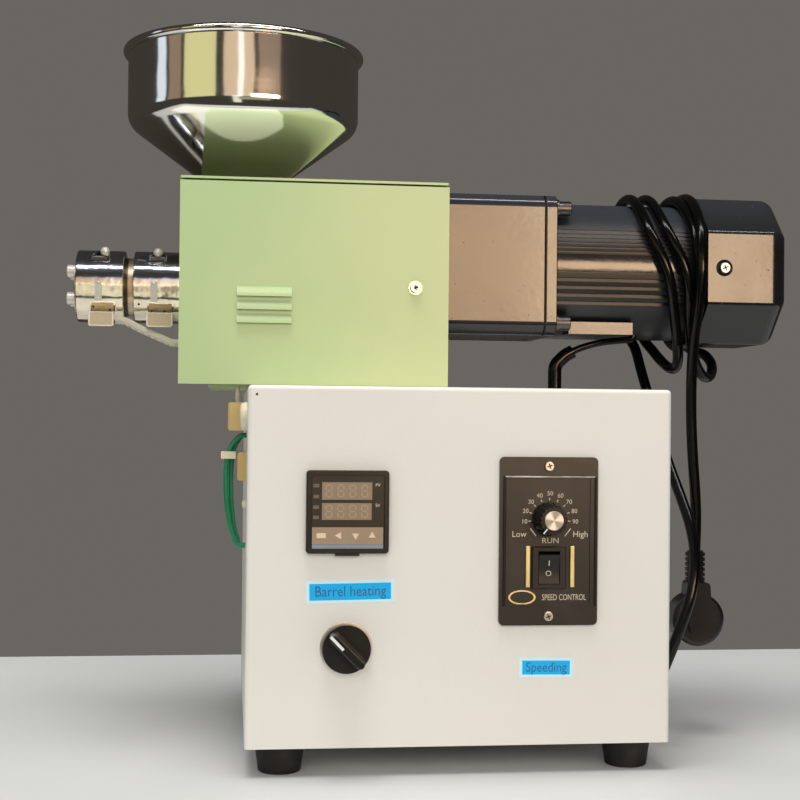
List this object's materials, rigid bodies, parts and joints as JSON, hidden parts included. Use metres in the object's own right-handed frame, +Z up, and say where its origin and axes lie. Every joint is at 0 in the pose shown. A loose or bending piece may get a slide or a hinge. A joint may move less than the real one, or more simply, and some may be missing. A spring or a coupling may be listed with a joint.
{
  "type": "laboratory extruder",
  "caption": "Bench-top single-screw extruder: steel control cabinet, guard with a funnel hopper, heated barrel and die on the left, square gearmotor on the right, mains cord wound round it",
  "frame": {"origin": "on the table, under the middle of the machine's length and depth, cord left out", "axes": "+Z up, +X along the machine from the die to the motor, the control panel faces -Y"},
  "size_m": [0.475, 0.3596, 0.4508],
  "materials": {
    "cabinet_paint": "smooth off-white powder coat",
    "foot_rubber": "matte black moulded rubber",
    "controller_plastic": "fine-grained black moulding",
    "knob_plastic": "satin black moulding",
    "cap_metal": "turned disc",
    "plate_plastic": "fine-grained black moulding",
    "screw_steel": "plain steel",
    "guard_paint": "smooth pale green powder coat",
    "block_steel": "milled steel",
    "barrel_steel": "turned steel, browned by heat",
    "heater_steel": "polished stainless jacket",
    "terminal_ceramic": "unglazed tan ceramic in a thin metal frame",
    "sleeve_white": "white woven glass-fibre sleeve",
    "hopper_steel": "polished stainless sheet",
    "gear_paint": "glossy blue-black paint",
    "bolt_steel": "blackened steel",
    "fan_paint": "glossy blue-black paint",
    "cord_rubber": "matte black flexible cord",
    "plug_plastic": "matte black moulding",
    "block_plastic": "cream moulding",
    "plug_white": "white moulding",
    "wire_green": "green insulation",
    "tie_white": "white nylon"
  },
  "bodies": {
    "machine": {"cabinet_shell": "cabinet_paint", "cabinet_base": "cabinet_paint", "cabinet_rear": "cabinet_paint", "rubber_feet": "foot_rubber", "controller_case": "controller_plastic", "controller_bezel": "controller_plastic", "controller_face": "controller_plastic", "selector_collar": "screw_steel", "speed_plate": "plate_plastic", "speed_case": "plate_plastic", "speed_screws": "screw_steel", "rocker_bezel": "knob_plastic", "guard_base": "guard_paint", "guard_end_left": "guard_paint", "guard_end_right": "guard_paint", "guard_front": "guard_paint", "guard_back": "guard_paint", "guard_lid": "guard_paint", "guard_screws": "screw_steel", "feed_block": "block_steel", "barrel": "barrel_steel", "feed_screw": "block_steel", "die_head": "barrel_steel", "nozzle": "barrel_steel", "die_bolts": "bolt_steel", "heater_band_1": "heater_steel", "heater_band_2": "heater_steel", "heater_clamps": "screw_steel", "heater_terminals": "terminal_ceramic", "heater_leads": "sleeve_white", "hopper": "hopper_steel", "gearbox": "gear_paint", "motor_flange": "gear_paint", "flange_bolts": "bolt_steel", "motor_body": "gear_paint", "motor_pad": "gear_paint", "motor_lead": "cord_rubber", "motor_grommet": "cord_rubber", "fan_cover": "fan_paint", "fan_screws": "screw_steel", "terminal_blocks": "block_plastic", "side_plugs": "plug_white", "green_wires": "wire_green", "wire_tie": "tie_white", "mains_gland": "plug_plastic", "mains_lead": "cord_rubber", "mains_coil": "cord_rubber", "mains_drop": "cord_rubber", "mains_plug": "plug_plastic"},
    "selector": {"selector_knob": "knob_plastic"},
    "speed_dial": {"speed_knob": "knob_plastic", "speed_knob_cap": "cap_metal"},
    "rocker_switch": {"rocker": "knob_plastic"}
  },
  "joints": [
    {"name": "selector_turn", "type": "hinge", "parent": "machine", "child": "selector", "pos_m": [-0.06255, -0.132, 0.075], "axis": [0, 1, 0], "range_deg": [0, 90]},
    {"name": "speed_turn", "type": "hinge", "parent": "machine", "child": "speed_dial", "pos_m": [0.05645, -0.132, 0.15], "axis": [0, 1, 0], "range_deg": [0, 270]},
    {"name": "rocker_tip", "type": "hinge", "parent": "machine", "child": "rocker_switch", "pos_m": [0.05645, -0.1294, 0.1215], "axis": [1, 0, 0], "range_deg": [-12, 0]}
  ]
}
